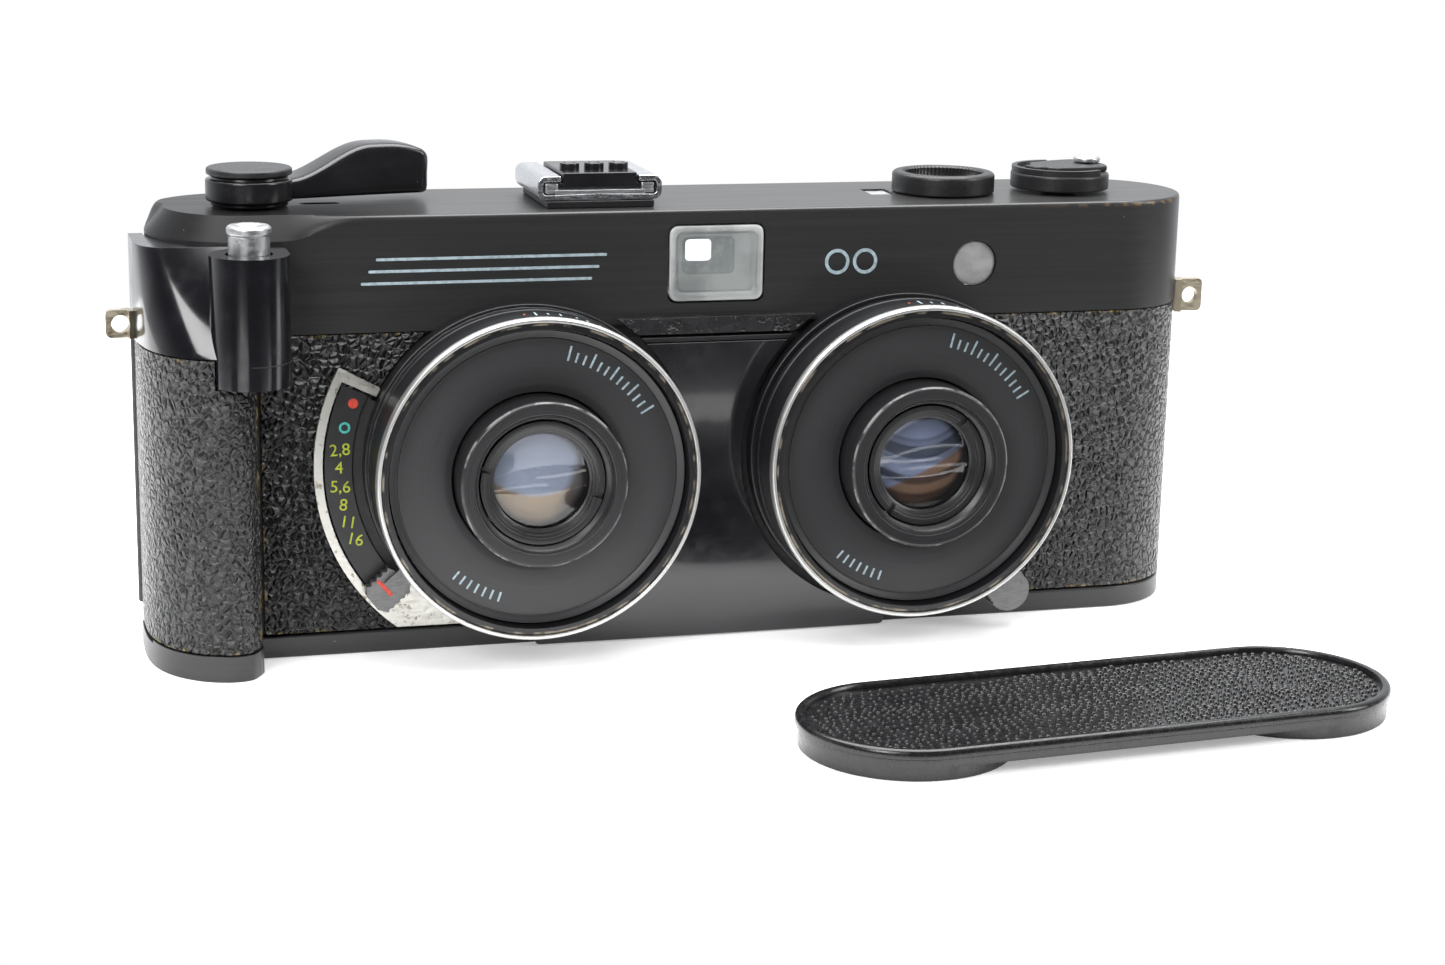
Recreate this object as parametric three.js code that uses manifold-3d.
// Stereo camera for 35 mm film: two coupled lenses, one body, and its double lens cap.
// Millimetres, +Z up, +X to the right seen from the front, the lenses look along -Y.
// The origin lies on the underside, midway between the two lens axes.
import * as THREE from 'three';
import { mergeVertices } from 'three/addons/utils/BufferGeometryUtils.js';
import { ConvexGeometry } from 'three/addons/geometries/ConvexGeometry.js';
import Module from 'manifold-3d';

const wasm = await Module();
wasm.setup();

// ---- driving dimensions -------------------------------------------------------------
const GAP = 0.3;                  // clearance between neighbouring pieces
const BODY_R = 15;                // radius of the round ends, half of the body's depth
const LEFT_X = -74.5;             // centre of the left round end
const RIGHT_X = 71.4;             // centre of the right round end
const PLATE_TOP = 3.7;            // bottom plate, from 0
const COVER_BOTTOM = 52.5;        // top cover, from here up
const COVER_TOP = 70.9;
const SKIN = 0.8;                 // leatherette
const LENS_X = 31.7;              // half of the 63.4 mm stereo base
const LENS_Z = 30.9;
const FLANGE_R = 26;              // fixed flange of each lens
const BARREL_R = 25.6;            // focusing ring
const RIM_FRONT = -30;            // front of the bright rim
const DISH_Y = -27.3;             // dished face round the lens tube
const DISH_R = 23.6;
const TUBE_R = 13.3;
const TUBE_FRONT = -33;
const GLASS_R = 7.6;              // clear radius of the front glass
const TUBE_BASE_R = 16.2;
const PANEL_FRONT = -17;          // panel between the lenses
const PANEL_CUT_R = 27.3;
const BLADE_PIVOT = [9.6, 2.6];   // shutter blade's pin, X and Z from the lens axis
const FOCUS_TAB_ANGLE = 53;       // degrees below the horizontal, to the right
const APERTURE_ANGLE = 138.5;     // degrees clockwise from +X, so it sits low on the left
const CRANK_REST = 15;            // degrees, the crank's grip points to the right
const GATE_W = 30;                // picture gate
const GATE_H = 24;
const FILM_Y = 11.2;              // film plane
const CHAMBER_R = 12.7;           // room for one film cartridge
const CHAMBER_Y = -0.6;
const CARTRIDGE_X = 65;
const TAKEUP_X = -70.5;
const SPROCKET_X = -53.2;
const DOOR_Y = 1;                 // front edge of the back door at both ends
const DOOR_WALL = 1.6;
const HINGE_X = -90.4;
const HINGE_Y = 2.2;
const GRIP_TOP = 50.8;
const FOOT_TOP = 4.2;
const RELEASE_X = -75.5;          // release button and its round housing
const RELEASE_Y = -23;
const RELEASE_R = 6.1;
const HOUSING_TOP = 66.7;
const LEVER_X = -73;
const LEVER_Y = -1;
const LEVER_REST = 12;            // degrees, the arm leans a little to the rear
const SHOE_X = -18.2;
const SHOE_W = 20.4;
const SHOE_FRONT = -10.5;
const SHOE_BACK = 8;
const SHOE_BASE = 72.1;
const DIAL_X = 44;
const DIAL_R = 8.7;
const REWIND_X = CARTRIDGE_X;
const REWIND_R = 8.4;
const WINDOW = { left: -7.7, right: 8, low: 56, high: 68.3 };
const CELL_X = 44.6;
const CELL_Z = 61;
const CAP_X = 45;                 // the lens cap lies in front of the camera
const CAP_Y = -73.7;
const CAP_TURN = 4.3;
const CAP_R = 16.5;

// ---- materials ----------------------------------------------------------------------
function paint(color, roughness, metalness) {
  return new THREE.MeshStandardMaterial({ color, roughness, metalness });
}
const coverPaint = paint(0x2a2a2b, 0.5, 0.2);
const castingPaint = paint(0x161616, 0.7, 0.1);
const leather = paint(0x1b1b1c, 0.75, 0);
const glossBlack = paint(0x0b0b0d, 0.15, 0);
const satinBlack = paint(0x151517, 0.45, 0.1);
const chrome = paint(0xd5d7da, 0.15, 1);
const silver = paint(0xb9b9b4, 0.35, 1);
const nickel = paint(0xa89c83, 0.35, 1);
const glass = paint(0x9fb2d0, 0.05, 0);
const greyPlastic = paint(0x8b8b8b, 0.4, 0);
const capPlastic = paint(0x1c1c1d, 0.4, 0);

// ---- tools for solids ---------------------------------------------------------------
const camera = new THREE.Group();

// A closed geometry becomes a solid: shared corners merged, flat triangles dropped.
function solid(geometry) {
  const bare = geometry.index ? geometry.toNonIndexed() : geometry.clone();
  bare.deleteAttribute('normal');
  bare.deleteAttribute('uv');
  const merged = mergeVertices(bare, 1e-4);
  const points = merged.attributes.position;
  const triangles = [];
  let volume = 0;
  const corner = [new THREE.Vector3(), new THREE.Vector3(), new THREE.Vector3()];
  for (let i = 0; i < merged.index.count; i += 3) {
    const ids = [0, 1, 2].map((k) => merged.index.getX(i + k));
    if (new Set(ids).size < 3) continue;
    triangles.push(...ids);
    ids.forEach((id, k) => corner[k].fromBufferAttribute(points, id));
    volume += corner[0].dot(corner[1].clone().cross(corner[2]));
  }
  if (volume < 0) triangles.reverse();
  return new wasm.Manifold(new wasm.Mesh({
    numProp: 3,
    vertProperties: new Float32Array(points.array),
    triVerts: new Uint32Array(triangles),
  }));
}

function piece(parent, name, shape, material) {
  const result = shape.getMesh();
  const geometry = new THREE.BufferGeometry();
  geometry.setAttribute('position', new THREE.BufferAttribute(result.vertProperties, 3));
  geometry.setIndex(new THREE.BufferAttribute(result.triVerts, 1));
  const mesh = new THREE.Mesh(geometry, material);
  mesh.name = name;
  parent.add(mesh);
  return mesh;
}

function groupAt(x, y, z, turn = 0) {
  const group = new THREE.Group();
  group.position.set(x, y, z);
  group.rotation.z = THREE.MathUtils.degToRad(turn);
  camera.add(group);
  return group;
}

// A plan outline raised from z0 to z1, with an optional rounded edge.
function raise(shape, z0, z1, edge = 0, curveSegments = 12) {
  const options = { depth: z1 - z0 - 2 * edge, bevelEnabled: edge > 0, curveSegments };
  if (edge > 0) {
    Object.assign(options, {
      bevelThickness: edge, bevelSize: edge, bevelOffset: -edge, bevelSegments: 1,
    });
  }
  return solid(new THREE.ExtrudeGeometry(shape, options).translate(0, 0, z0 + edge));
}

// An outline drawn in X and Z, with depth from y0 to y1.
function push(shape, y0, y1, curveSegments = 12) {
  const options = { depth: y1 - y0, bevelEnabled: false, curveSegments };
  return solid(new THREE.ExtrudeGeometry(shape, options).rotateX(Math.PI / 2)
    .translate(0, y1, 0));
}

function box(x0, x1, y0, y1, z0, z1) {
  return solid(new THREE.BoxGeometry(x1 - x0, y1 - y0, z1 - z0)
    .translate((x0 + x1) / 2, (y0 + y1) / 2, (z0 + z1) / 2));
}

// Turned pieces: the profile holds radius and distance along the axis.
function turnY(profile, segments = 36) {
  const points = profile.map(([r, y]) => new THREE.Vector2(r, y));
  return solid(new THREE.LatheGeometry(points, segments));
}

function turnZ(profile, segments = 24) {
  const points = profile.map(([r, z]) => new THREE.Vector2(r, z));
  return solid(new THREE.LatheGeometry(points, segments).rotateX(Math.PI / 2));
}

function ringY(inner, outer, y0, y1, segments = 36) {
  return turnY([[inner, y0], [outer, y0], [outer, y1], [inner, y1], [inner, y0]], segments);
}

function ringZ(inner, outer, z0, z1, segments = 20) {
  return turnZ([[inner, z0], [outer, z0], [outer, z1], [inner, z1], [inner, z0]], segments);
}

function discY(radius, y0, y1, segments = 36) {
  return turnY([[0, y0], [radius, y0], [radius, y1], [0, y1]], segments);
}

function discZ(radius, z0, z1, segments = 20) {
  return turnZ([[0, z0], [radius, z0], [radius, z1], [0, z1]], segments);
}

// The body's plan: a straight middle with a round end on each side.
function stadium(radius, left = LEFT_X, right = RIGHT_X) {
  const shape = new THREE.Shape();
  shape.moveTo(left, -radius);
  shape.lineTo(right, -radius);
  shape.absarc(right, 0, radius, -Math.PI / 2, Math.PI / 2, false);
  shape.lineTo(left, radius);
  shape.absarc(left, 0, radius, Math.PI / 2, Math.PI * 1.5, false);
  return shape;
}

function roundedBox(x0, x1, z0, z1, radius) {
  const shape = new THREE.Shape();
  shape.moveTo(x0 + radius, z0);
  shape.lineTo(x1 - radius, z0);
  shape.absarc(x1 - radius, z0 + radius, radius, -Math.PI / 2, 0, false);
  shape.lineTo(x1, z1 - radius);
  shape.absarc(x1 - radius, z1 - radius, radius, 0, Math.PI / 2, false);
  shape.lineTo(x0 + radius, z1);
  shape.absarc(x0 + radius, z1 - radius, radius, Math.PI / 2, Math.PI, false);
  shape.lineTo(x0, z0 + radius);
  shape.absarc(x0 + radius, z0 + radius, radius, Math.PI, Math.PI * 1.5, false);
  return shape;
}

function polygon(points) {
  return new THREE.Shape(points.map(([x, y]) => new THREE.Vector2(x, y)));
}

// Sector of a ring, angles in degrees from +X towards +Z.
function sector(inner, outer, from, to) {
  const start = THREE.MathUtils.degToRad(from);
  const end = THREE.MathUtils.degToRad(to);
  const shape = new THREE.Shape();
  shape.moveTo(inner * Math.cos(start), inner * Math.sin(start));
  shape.lineTo(outer * Math.cos(start), outer * Math.sin(start));
  shape.absarc(0, 0, outer, start, end, false);
  shape.lineTo(inner * Math.cos(end), inner * Math.sin(end));
  shape.absarc(0, 0, inner, end, start, true);
  return shape;
}

// The grip swells forward at the left end; "grow" moves its outline outward.
function gripPlan(grow = 0) {
  const outline = [
    [-75.2, -23.4], [-76.6, -25.4], [-79, -26], [-81.8, -25.5], [-84.8, -24],
    [-87.9, -21], [-90, -17.2], [-91.2, -12.5], [-91.6, -7.5], [-91.6, -1.6],
  ];
  const middle = new THREE.Vector2(-80, -12);
  const points = outline.map(([x, y]) => {
    const point = new THREE.Vector2(x, y);
    const away = point.clone().sub(middle).normalize();
    return point.addScaledVector(away, grow);
  });
  const shape = new THREE.Shape();
  shape.moveTo(-74.6 + grow, -1.6);
  shape.lineTo(-74.6 + grow, points[0].y + 1.5);
  shape.splineThru(points);
  return shape;
}

function bothLenses(radius) {
  const hole = discY(radius, -40, 0);
  return hole.translate(-LENS_X, 0, LENS_Z).add(hole.translate(LENS_X, 0, LENS_Z));
}

// ---- body casting -------------------------------------------------------------------
const bodyZ = [PLATE_TOP + GAP / 2, COVER_BOTTOM - GAP / 2];
const frontHalf = box(-120, 120, -40, DOOR_Y - GAP, 0, 90);
const innerR = BODY_R - SKIN - GAP / 2;
const rearR = BODY_R - DOOR_WALL - GAP;
let casting = raise(stadium(innerR), ...bodyZ, 0, 7).intersect(frontHalf);
casting = casting.add(raise(stadium(rearR), ...bodyZ, 0, 7)
  .intersect(box(-120, 120, -5, FILM_Y, 0, 90)));
// Pads bring the front out to the panel and the lens flanges.
casting = casting.add(push(roundedBox(-29.9, 29.9, PLATE_TOP + 0.3, 50.5, 0.5), -14.95, -13))
  .add(bothLenses(FLANGE_R).intersect(
    box(-60, 60, -14.95, -13, 0, bodyZ[1])));
for (const x of [CARTRIDGE_X, TAKEUP_X]) {
  const well = discZ(CHAMBER_R, 6, 50, 20).translate(x, CHAMBER_Y, 0);
  const mouth = box(x - CHAMBER_R, x + CHAMBER_R, CHAMBER_Y, 20, 6, 50);
  casting = casting.subtract(well).subtract(mouth);
}
for (const side of [-1, 1]) {
  const x = side * LENS_X;
  const gate = box(x - GATE_W / 2, x + GATE_W / 2, -9, 20,
    LENS_Z - GATE_H / 2, LENS_Z + GATE_H / 2);
  const bore = discY(17.5, -20, -6, 28).translate(x, 0, LENS_Z);
  casting = casting.subtract(gate).subtract(bore);
}
casting = casting.subtract(discZ(6.2, 6, 50, 32).translate(SPROCKET_X, 6.2, 0))
  .subtract(box(SPROCKET_X - 6.2, SPROCKET_X + 6.2, 6.2, 20, 6, 50))
  .subtract(discZ(3.5, 40, 60, 20).translate(CARTRIDGE_X, CHAMBER_Y, 0))
  .subtract(discZ(8.4, 0, 12, 32).translate(0, 5, 0).intersect(box(-9, 9, -9, 20, 0, 7)))
  .subtract(box(14.7, 33.3, -9.3, 9.3, 0, 7.5));
piece(camera, 'body_casting', casting, castingPaint);

// ---- top cover ----------------------------------------------------------------------
// The front left shoulder has a sloping hollow that runs out to the right in an S.
const hollowPath = [];
for (const [angle, out] of [[146, 4], [154, 2.4], [163, 0.9], [173, 0.1],
  [185, 0], [200, 0], [215, 0], [230, 0], [245, 0], [260, 0]]) {
  const a = THREE.MathUtils.degToRad(angle);
  const reach = BODY_R + out;
  hollowPath.push(new THREE.Vector3(LEFT_X + reach * Math.cos(a), reach * Math.sin(a), 0));
}
for (const [x, out] of [[-72, 0], [-69, 0.5], [-66.2, 1.7], [-63, 3.1], [-59, 4.2]]) {
  hollowPath.push(new THREE.Vector3(x, -BODY_R - out, 0));
}
const hollowSection = polygon([[-71.4, 3.3], [-67.4, 0], [-67.4, -3], [-74, -3], [-74, 3.3]]);
const hollow = solid(new THREE.ExtrudeGeometry(hollowSection, {
  steps: 22, bevelEnabled: false, extrudePath: new THREE.CatmullRomCurve3(hollowPath),
}));
const windowHole = push(roundedBox(WINDOW.left - GAP, WINDOW.right + GAP,
  WINDOW.low - GAP, WINDOW.high + GAP, 1.5), -20, -9, 4);
let cover = raise(stadium(BODY_R), COVER_BOTTOM - 1, COVER_TOP, 0.7, 7)
  .intersect(box(-120, 120, -40, 40, COVER_BOTTOM, 90))
  .subtract(raise(stadium(BODY_R - 1.4), 50, 65.5, 0, 5))
  .subtract(raise(stadium(BODY_R - 5), 60, COVER_TOP - 1.3, 0, 4))
  .subtract(hollow)
  .subtract(windowHole)
  .subtract(push(roundedBox(-6, 6, 56.5, 65.5, 1.2), 5, 20, 4))
  .subtract(discY(4, -20, -10, 32).translate(CELL_X, 0, CELL_Z))
  .subtract(discZ(3.4, 60, 80, 24).translate(LEVER_X, LEVER_Y, 0))
  .subtract(discZ(3.4, 60, 80, 24).translate(REWIND_X, CHAMBER_Y, 0))
  .subtract(discZ(2.4, 60, 80, 20).translate(DIAL_X, 0, 0))
  .subtract(box(30.8, 35.1, -1.6, 5, 68, 80));
piece(camera, 'top_cover', cover, coverPaint);

// ---- bottom plate with the grip's foot ----------------------------------------------
const footPlan = raise(gripPlan(0.2), 0, FOOT_TOP, 0.5, 4)
  .subtract(box(-120, -60, -14.5, 20, PLATE_TOP, 10));
let plate = raise(stadium(BODY_R), 0, PLATE_TOP + 1, 0.5, 7)
  .intersect(box(-120, 120, -40, 40, 0, PLATE_TOP))
  .add(footPlan)
  .subtract(discZ(7.8, -1, 10, 32).translate(0, 5, 0))
  .subtract(discZ(8.3, -1, 10, 32).translate(24, 0, 0));
piece(camera, 'bottom_plate', plate, coverPaint);

// Tripod bushing with a quarter-inch hole, flush with the underside.
const bushing = groupAt(0, 5, 0);
piece(bushing, 'tripod_bushing', ringZ(3.2, 7.5, 0, 6.5), silver);

// Battery cover: a disc with a coin slot, turned a quarter to open.
const battery = groupAt(24, 0, 0);
const batteryCover = discZ(8, 0.2, 3)
  .subtract(box(-6, 6, -0.9, 0.9, -1, 1.3));
piece(battery, 'battery_cover', batteryCover, satinBlack);

// ---- lens panel, strip, exposure scale ----------------------------------------------
const panelBack = -BODY_R - 0.05;
const panelCut = bothLenses(PANEL_CUT_R);
const panel = push(roundedBox(-30, 30, 0.2, 50.5, 0.8), PANEL_FRONT, panelBack, 4)
  .subtract(panelCut);
piece(camera, 'lens_panel', panel, glossBlack);
const strip = push(roundedBox(-20, 20, 51, 53.7, 0.3), PANEL_FRONT + 0.3, panelBack, 2)
  .subtract(panelCut);
piece(camera, 'panel_top_strip', strip, satinBlack);

// Angles run from +X towards +Z, so the outer side of the left lens is 180 degrees.
const leftLens = groupAt(-LENS_X, 0, LENS_Z);
const rightLens = groupAt(LENS_X, 0, LENS_Z);
const scaleBack = -BODY_R - 0.15;
const frame = push(sector(FLANGE_R + GAP, 33.7, 151, 248.5), scaleBack - 0.7, scaleBack, 12)
  .subtract(box(-60, 20, -30, 0, -40, 4.3 - LENS_Z))
  .subtract(push(sector(FLANGE_R - 2, 32.3, 154.2, 224), -20, -10, 12));
piece(leftLens, 'scale_frame', frame, silver);
const scale = push(sector(FLANGE_R + GAP, 32, 154.9, 223.3), scaleBack - 0.6, scaleBack, 12);
piece(leftLens, 'exposure_scale', scale, satinBlack);

// ---- leatherette --------------------------------------------------------------------
const skin = raise(stadium(BODY_R), PLATE_TOP + 0.3, COVER_BOTTOM - 0.2, 0, 9)
  .subtract(raise(stadium(BODY_R - SKIN), 0, 90, 0, 7))
  .intersect(box(-120, 120, -40, DOOR_Y - GAP, 0, 90))
  .subtract(bothLenses(FLANGE_R + GAP))
  .subtract(box(-30.3, 30.3, -30, 0, 0, 60));
piece(camera, 'leather_front_right', skin.intersect(box(0, 120, -40, 40, 0, 90)), leather);
piece(camera, 'leather_front_left', skin.intersect(box(-73.4, 0, -40, 40, 0, 90)), leather);

// ---- grip ---------------------------------------------------------------------------
const bodyRoom = raise(stadium(BODY_R + GAP), -1, 90, 0, 8);
const releaseRoom = discZ(RELEASE_R + GAP, 46.3, 90, 32).translate(RELEASE_X, RELEASE_Y, 0)
  .add(box(RELEASE_X, -60, RELEASE_Y, 0, 46.3, 90));
const gripZ = [FOOT_TOP + 0.2, GRIP_TOP];
const gripCore = raise(gripPlan(-SKIN - 0.2), ...gripZ, 0, 4)
  .subtract(bodyRoom)
  .subtract(releaseRoom);
piece(camera, 'grip_core', gripCore, satinBlack);
const gripSkin = raise(gripPlan(), ...gripZ, 0, 4)
  .subtract(raise(gripPlan(-SKIN), 0, 90, 0, 4))
  .subtract(bodyRoom)
  .subtract(releaseRoom);
piece(camera, 'grip_leather', gripSkin, leather);

// ---- release housing and button -----------------------------------------------------
// The shoulder runs from the grip's outline below to a squarer outline at the top.
const shoulderPoints = [];
for (const [x, y] of [[-75, -25.4], [-79, -26], [-81.8, -25.5], [-84.8, -24], [-87.9, -21],
  [-90, -17.2], [-91.2, -12.5], [-91.9, -7], [-92, 0.4], [-75, 0.4]]) {
  shoulderPoints.push(new THREE.Vector3(x, y, GRIP_TOP + 0.3));
}
for (const [x, y] of [[-70, -15.6], [-86.5, -15.6], [-89.4, -14.4], [-91.2, -12],
  [-91.9, -8], [-92, 0.4], [-70, 0.4]]) {
  shoulderPoints.push(new THREE.Vector3(x, y, HOUSING_TOP - 0.5));
  shoulderPoints.push(new THREE.Vector3(x + 0.4, Math.min(y + 0.4, 0.4), HOUSING_TOP));
}
const housing = solid(new ConvexGeometry(shoulderPoints))
  .intersect(box(-120, RELEASE_X, -40, 40, 0, 90))
  .add(discZ(RELEASE_R, 46.6, HOUSING_TOP, 32).translate(RELEASE_X, RELEASE_Y, 0))
  .add(box(RELEASE_X, RELEASE_X + 5.9, RELEASE_Y + 1, -14.8, 46.6, HOUSING_TOP))
  .subtract(bodyRoom)
  .subtract(discZ(3.6, 58, 90, 24).translate(RELEASE_X, RELEASE_Y, 0));
piece(camera, 'release_housing', housing, glossBlack);

const release = groupAt(RELEASE_X, RELEASE_Y, 0);
const button = turnZ([
  [0, 61.5], [3.15, 61.5], [3.15, 70], [3.4, 70.3], [3.4, 70.8], [3.1, 71.1],
  [1.9, 71.1], [1.3, 70.2], [1.1, 68], [0, 68],
], 20);
piece(release, 'release_button', button, silver);

// ---- lenses -------------------------------------------------------------------------
function buildLens(lens, side) {
  const base = ringY(TUBE_BASE_R + 0.4, FLANGE_R, -18, panelBack);
  piece(lens, `lens_base_${side}`, base, satinBlack);

  // The tube is stepped outside and in, with a wide room for the shutter blades.
  const tube = turnY([
    [11.2, TUBE_FRONT], [12.9, TUBE_FRONT], [TUBE_R, TUBE_FRONT + 0.4], [TUBE_R, -21.4],
    [TUBE_BASE_R, -21.4], [TUBE_BASE_R, -9.5], [6.9, -9.5], [6.9, -17.4], [15.2, -17.4],
    [15.2, -20.4], [8, -20.4], [8, -25.1], [10.2, -25.1], [10.2, -31.7], [10.7, -31.7],
    [11.2, -32.2], [11.2, TUBE_FRONT],
  ], 24);
  piece(lens, `lens_tube_${side}`, tube, satinBlack);
  const front = turnY([
    [0, -30.3], [2.6, -30.2], [5.2, -29.8], [GLASS_R, -29.3], [9.9, -29.3],
    [9.9, -25.4], [0, -25.4],
  ], 24);
  piece(lens, `front_element_${side}`, front, glass);
  const slot = box(-12, 12, -32, -30.4, -0.45, 0.45).rotate([0, side === 'left' ? 15 : -50, 0]);
  const retainer = turnY([
    [GLASS_R + 0.1, -29.6], [GLASS_R + 0.1, -30], [8.8, -31.1], [9.9, -31.1], [9.9, -29.6],
    [GLASS_R + 0.1, -29.6],
  ], 28).subtract(slot);
  piece(lens, `retaining_ring_${side}`, retainer, satinBlack);

  // Two shutter blades, each with a pivot ear, lie one behind the other.
  const leafShape = new THREE.Shape();
  leafShape.moveTo(7.4, -0.8);
  leafShape.lineTo(7.4, 1);
  leafShape.absarc(BLADE_PIVOT[0], BLADE_PIVOT[1], 1.7, -Math.PI / 3, Math.PI * 0.75, false);
  leafShape.absarc(0, 0, 7.4, Math.PI * 0.22, Math.PI, false);
  leafShape.lineTo(-7.4, -0.8);
  for (const [letter, y, turn] of [['a', -19.8, 0], ['b', -18.4, 180]]) {
    const leaf = push(leafShape, y - 0.15, y + 0.15, 10).rotate([0, turn, 0]);
    piece(lens, `shutter_blade_${side}_${letter}`, leaf, castingPaint);
  }

  // Focusing ring, its bright rim and the dished face turn together.
  const focus = turnY([
    [24.2, -19.4], [BARREL_R, -19.4], [BARREL_R, -28.3], [25, -28.3], [25, -29.7],
    [DISH_R + 0.2, -29.7], [DISH_R + 0.2, -26], [24.2, -26], [24.2, -19.4],
  ]);
  piece(lens, `focus_ring_${side}`, focus, satinBlack);
  const rim = turnY([
    [25.15, -28.5], [25.9, -28.5], [25.9, -29.6], [25.6, RIM_FRONT], [25.15, RIM_FRONT],
    [25.15, -28.5],
  ]);
  piece(lens, `rim_ring_${side}`, rim, silver);
  const face = turnY([
    [TUBE_R + 0.4, DISH_Y + 1.2], [DISH_R, DISH_Y + 1.2], [DISH_R, DISH_Y - 0.5],
    [DISH_R - 0.6, DISH_Y], [TUBE_R + 0.4, DISH_Y], [TUBE_R + 0.4, DISH_Y + 1.2],
  ], 32);
  piece(lens, `face_ring_${side}`, face, satinBlack);
}
buildLens(leftLens, 'left');
buildLens(rightLens, 'right');

// Focusing tab: a rounded finger piece under the right focusing ring.
const tabShape = new THREE.Shape();
tabShape.moveTo(BARREL_R + 0.3, -3.6);
tabShape.lineTo(30.3, -3.6);
tabShape.absarc(30.3, 0, 3.6, -Math.PI / 2, Math.PI / 2, false);
tabShape.lineTo(BARREL_R + 0.3, 3.6);
const focusTab = push(tabShape, -23.5, -20, 8).subtract(discY(BARREL_R + GAP, -40, 0))
  .rotate([0, FOCUS_TAB_ANGLE, 0]);
piece(rightLens, 'focus_tab', focusTab, greyPlastic);

// Exposure lever: a thin ring behind the left focusing ring with a finger tab outside.
const apertureRing = ringY(20, 25.6, -18.9, -18.3)
  .add(box(25, 29.5, -18.9, -18.3, -1.6, 1.6))
  .rotate([0, APERTURE_ANGLE, 0]);
piece(leftLens, 'aperture_ring', apertureRing, silver);
const apertureTab = push(polygon([[26.9, -1.9], [27.8, -2.8], [31.6, -3.1], [33, -1.8],
  [33.2, 1.2], [32.2, 2.9], [28.2, 2.7], [26.9, 1.8]]), -18.2, -16.3)
  .rotate([0, APERTURE_ANGLE, 0]);
piece(leftLens, 'aperture_tab', apertureTab, greyPlastic);

// ---- viewfinder and photocell -------------------------------------------------------
const { left, right, low, high } = WINDOW;
const pane = push(roundedBox(left, right, low, high, 1.4), -15, -12.6, 4)
  .add(push(roundedBox(left + 1, right - 1, low + 1, high - 1, 1), -15.5, -14.9, 3));
piece(camera, 'viewfinder_window', pane, glass);
const eyepiece = push(roundedBox(-5.7, 5.7, 56.8, 65.2, 1), 11.5, 15.4, 4)
  .subtract(push(roundedBox(-4.2, 4.2, 58.2, 63.8, 0.6), 14.2, 20, 3));
piece(camera, 'viewfinder_eyepiece', eyepiece, glass);
const cell = groupAt(CELL_X, 0, CELL_Z);
piece(cell, 'photocell_window', discY(3.65, -14.5, -12, 32), greyPlastic);

piece(camera, 'dial_window', box(31, 34.9, -1.4, 4.8, 69.7, 70.6), silver);

// ---- accessory shoe -----------------------------------------------------------------
const shoe = groupAt(SHOE_X, 0, 0);
const half = SHOE_W / 2;
const riser = box(-8.8, 8.8, SHOE_FRONT - 0.6, SHOE_BACK + 0.4, COVER_TOP + 0.05,
  SHOE_BASE - 0.05);
piece(shoe, 'shoe_riser', riser, satinBlack);
const rails = push(roundedBox(-half, half, SHOE_BASE, 76, 1.4), SHOE_FRONT, SHOE_BACK, 5)
  .subtract(push(roundedBox(1 - half, half - 1, SHOE_BASE + 1, 75.1, 0.7), -20, 20, 3))
  .subtract(box(-6.4, 6.4, -20, 20, 74, 80));
piece(shoe, 'accessory_shoe', rails, chrome);
const spring = box(1.4 - half, half - 1.4, 5.6, 7.4, SHOE_BASE + 1.1, SHOE_BASE + 1.5)
  .add(box(1.4 - half, 3.2 - half, SHOE_FRONT + 0.1, 7.4, SHOE_BASE + 1.1, SHOE_BASE + 1.5))
  .add(box(half - 3.2, half - 1.4, SHOE_FRONT + 0.1, 7.4, SHOE_BASE + 1.1, SHOE_BASE + 1.5));
piece(shoe, 'shoe_spring', spring, silver);
let shoeCover = box(-8.8, 8.8, SHOE_FRONT + 0.4, 5, SHOE_BASE + 1.8, 74.8)
  .add(box(-6.1, 6.1, SHOE_FRONT + 0.2, 5, 74, 76.5));
for (const x of [-4.05, 0, 4.05]) {
  shoeCover = shoeCover.add(discZ(1.6, 76, 77.6, 16).translate(x, SHOE_FRONT + 4.8, 0));
}
piece(shoe, 'shoe_cover', shoeCover, satinBlack);

// ---- strap lugs ---------------------------------------------------------------------
function lug(name, rootX, tipX, z, y, height) {
  const way = Math.sign(tipX - rootX);
  const shape = roundedBox(Math.min(rootX, tipX), Math.max(rootX, tipX), z - height / 2,
    z + height / 2, 0.9);
  const pad = box(-0.6, 0.6, -1.6, 1.6, z - height / 2, z + height / 2)
    .rotate([0, 0, way * -20]).translate(rootX + way * 0.4, y, 0);
  const hole = discY(1.4, -40, 40, 20).translate(tipX - way * 2.3, 0, z);
  const strap = push(shape, y - 0.6, y + 0.6, 4).add(pad).subtract(hole)
    .subtract(raise(stadium(BODY_R + 0.1), 0, 90, 0, 9))
    .subtract(solid(new ConvexGeometry(shoulderPoints)));
  piece(camera, name, strap, nickel);
}
lug('strap_lug_right', RIGHT_X + 14.3, 90.4, 53, -5.5, 5.6);
lug('strap_lug_left', -92.2, -96.2, 53.3, -5, 4.4);

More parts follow.
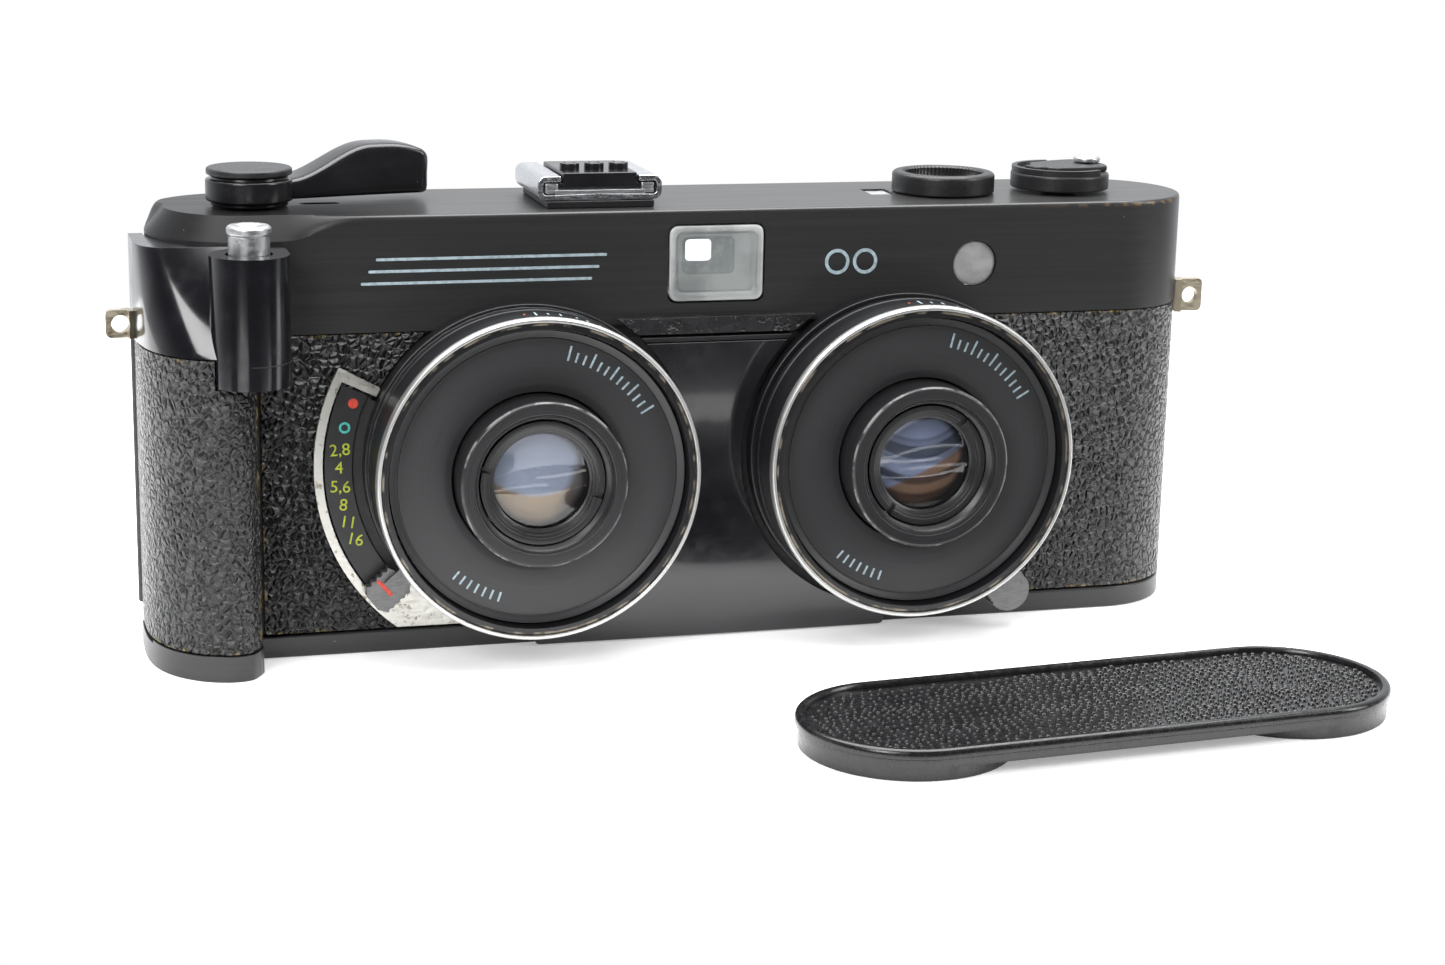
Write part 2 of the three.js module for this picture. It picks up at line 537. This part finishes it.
// ---- advance lever, spool and sprocket ----------------------------------------------
const lever = groupAt(LEVER_X, LEVER_Y, 0, LEVER_REST);
const armProfile = new THREE.Shape();
armProfile.moveTo(3, 71.9);
armProfile.lineTo(28.6, 71.9);
armProfile.quadraticCurveTo(29.4, 71.9, 29.4, 72.8);
armProfile.lineTo(29.4, 76.4);
armProfile.bezierCurveTo(29.4, 79.6, 25.5, 80.5, 20.5, 80.5);
armProfile.bezierCurveTo(13.5, 80.5, 12, 75.4, 5.5, 75.4);
armProfile.lineTo(3, 75.4);
const arm = push(armProfile, -4, 4, 8)
  .intersect(discZ(29.6, 60, 90, 32))
  .add(discZ(6.9, 71.9, 75.4))
  .add(discZ(6.1, COVER_TOP + 0.2, 72))
  .add(discZ(6.1, 75.3, 75.8))
  .add(discZ(3, 53.5, 72, 20))
  .subtract(discZ(2.2, 74.4, 80, 16));
piece(lever, 'advance_lever', arm, satinBlack);
const leverCap = discZ(6.75, 75.9, 77.1).add(discZ(2, 74.6, 76, 16));
piece(lever, 'lever_cap', leverCap, satinBlack);
const spool = turnZ([
  [0, 6.6], [11, 6.6], [11, 7.6], [6.8, 7.6], [6.8, 48.4], [11, 48.4], [11, 49.4], [0, 49.4],
], 16).subtract(box(-1, 1, 3, 10, 14, 42));
const takeup = groupAt(TAKEUP_X, CHAMBER_Y, 0);
piece(takeup, 'takeup_spool', spool, satinBlack);
const sprocketGroup = groupAt(SPROCKET_X, 6.2, 0);
let sprocket = turnZ([
  [0, 6.6], [5, 6.6], [5, 15], [3.2, 16.5], [3.2, 40.5], [5, 42], [5, 49.4], [0, 49.4],
], 16);
for (let i = 0; i < 8; i += 1) {
  for (const z of [12.5, 44]) {
    const tooth = box(4.6, 5.8, -0.6, 0.6, z - 0.7, z + 0.7).rotate([0, 0, i * 45]);
    sprocket = sprocket.add(tooth);
  }
}
piece(sprocketGroup, 'film_sprocket', sprocket, silver);

// ---- speed dial and rewind ----------------------------------------------------------
const dial = groupAt(DIAL_X, 0, 0);
const dialShape = turnZ([
  [0, 62], [2, 62], [2, COVER_TOP + 0.2], [DIAL_R, COVER_TOP + 0.2], [DIAL_R, 74.1],
  [DIAL_R - 0.5, 74.5], [6.9, 74.5], [6.6, 74.1], [6.6, 72.6], [0, 72.6],
]);
piece(dial, 'speed_dial', dialShape, satinBlack);

const rewind = groupAt(REWIND_X, CHAMBER_Y, 0);
piece(rewind, 'rewind_collar', ringZ(1.9, 3.1, 66, COVER_TOP + 0.3, 24), silver);
const shaft = discZ(1.6, 46, 73, 20)
  .add(discZ(2.6, 44.5, 48, 20))
  .add(box(-2.4, 2.4, -0.6, 0.6, 41, 45));
piece(rewind, 'rewind_shaft', shaft, silver);
const crankGroup = new THREE.Group();
crankGroup.rotation.z = THREE.MathUtils.degToRad(CRANK_REST);
rewind.add(crankGroup);
const knob = turnZ([
  [1.9, COVER_TOP + 0.6], [REWIND_R, COVER_TOP + 0.6], [REWIND_R, 74.1],
  [REWIND_R - 0.4, 74.4], [1.9, 74.4], [1.9, COVER_TOP + 0.6],
]).subtract(box(-9, -3.5, -1.9, 1.9, 73.2, 76));
piece(crankGroup, 'rewind_knob', knob, satinBlack);
const crank = box(-6.4, -4, -1.5, 1.5, 74.2, 75.4)
  .add(box(-4.6, 9, -5.2, 5.2, 74.6, 75.4).intersect(discZ(8, 70, 80)))
  .subtract(discZ(1, 70, 80, 12).translate(5.7, 0, 0));
piece(crankGroup, 'rewind_crank', crank, satinBlack);
const crankGrip = turnZ([
  [0, 74.6], [0.7, 74.6], [0.7, 75.6], [2.3, 75.6], [2.3, 76.3], [2, 76.6], [0, 76.6],
], 16).translate(5.7, 0, 0);
piece(crankGroup, 'crank_grip', crankGrip, silver);

// ---- back door ----------------------------------------------------------------------
const doorZ = [PLATE_TOP + 0.3, 50.7];
const door = raise(stadium(BODY_R), ...doorZ, 0, 9)
  .subtract(raise(stadium(BODY_R - DOOR_WALL), 0, 90, 0, 7))
  .intersect(box(-120, 120, DOOR_Y, 40, 0, 90))
  .add(discZ(1.6, 6, 49.5, 20).translate(HINGE_X, HINGE_Y, 0));
piece(camera, 'back_door', door, castingPaint);
const doorSkin = raise(stadium(BODY_R + 0.8, LEFT_X + 3, RIGHT_X - 3), 5, 49.7, 0, 8)
  .intersect(box(LEFT_X, RIGHT_X, BODY_R + 0.05, 40, 0, 90));
piece(camera, 'door_leather', doorSkin, leather);
const pressure = push(roundedBox(-50, 50, 16, 46, 1.5), 11.5, 12.3, 3)
  .add(box(-6, 6, 12.2, 12.7, 26, 36));
piece(camera, 'pressure_plate', pressure, satinBlack);

// ---- lens cap -----------------------------------------------------------------------
const cap = groupAt(CAP_X, CAP_Y, 0, CAP_TURN);
const capPlan = (r) => stadium(r, -LENS_X, LENS_X);
let capShape = raise(capPlan(CAP_R), 1.9, 4.8, 0.5, 8)
  .subtract(raise(capPlan(CAP_R - 1.6), 4.1, 9, 0, 7));
for (const side of [-1, 1]) {
  capShape = capShape.add(ringZ(13.4, CAP_R - 0.5, 0, 2.4, 28).translate(side * LENS_X, 0, 0));
}
piece(cap, 'lens_cap', capShape, capPlastic);

export default camera;
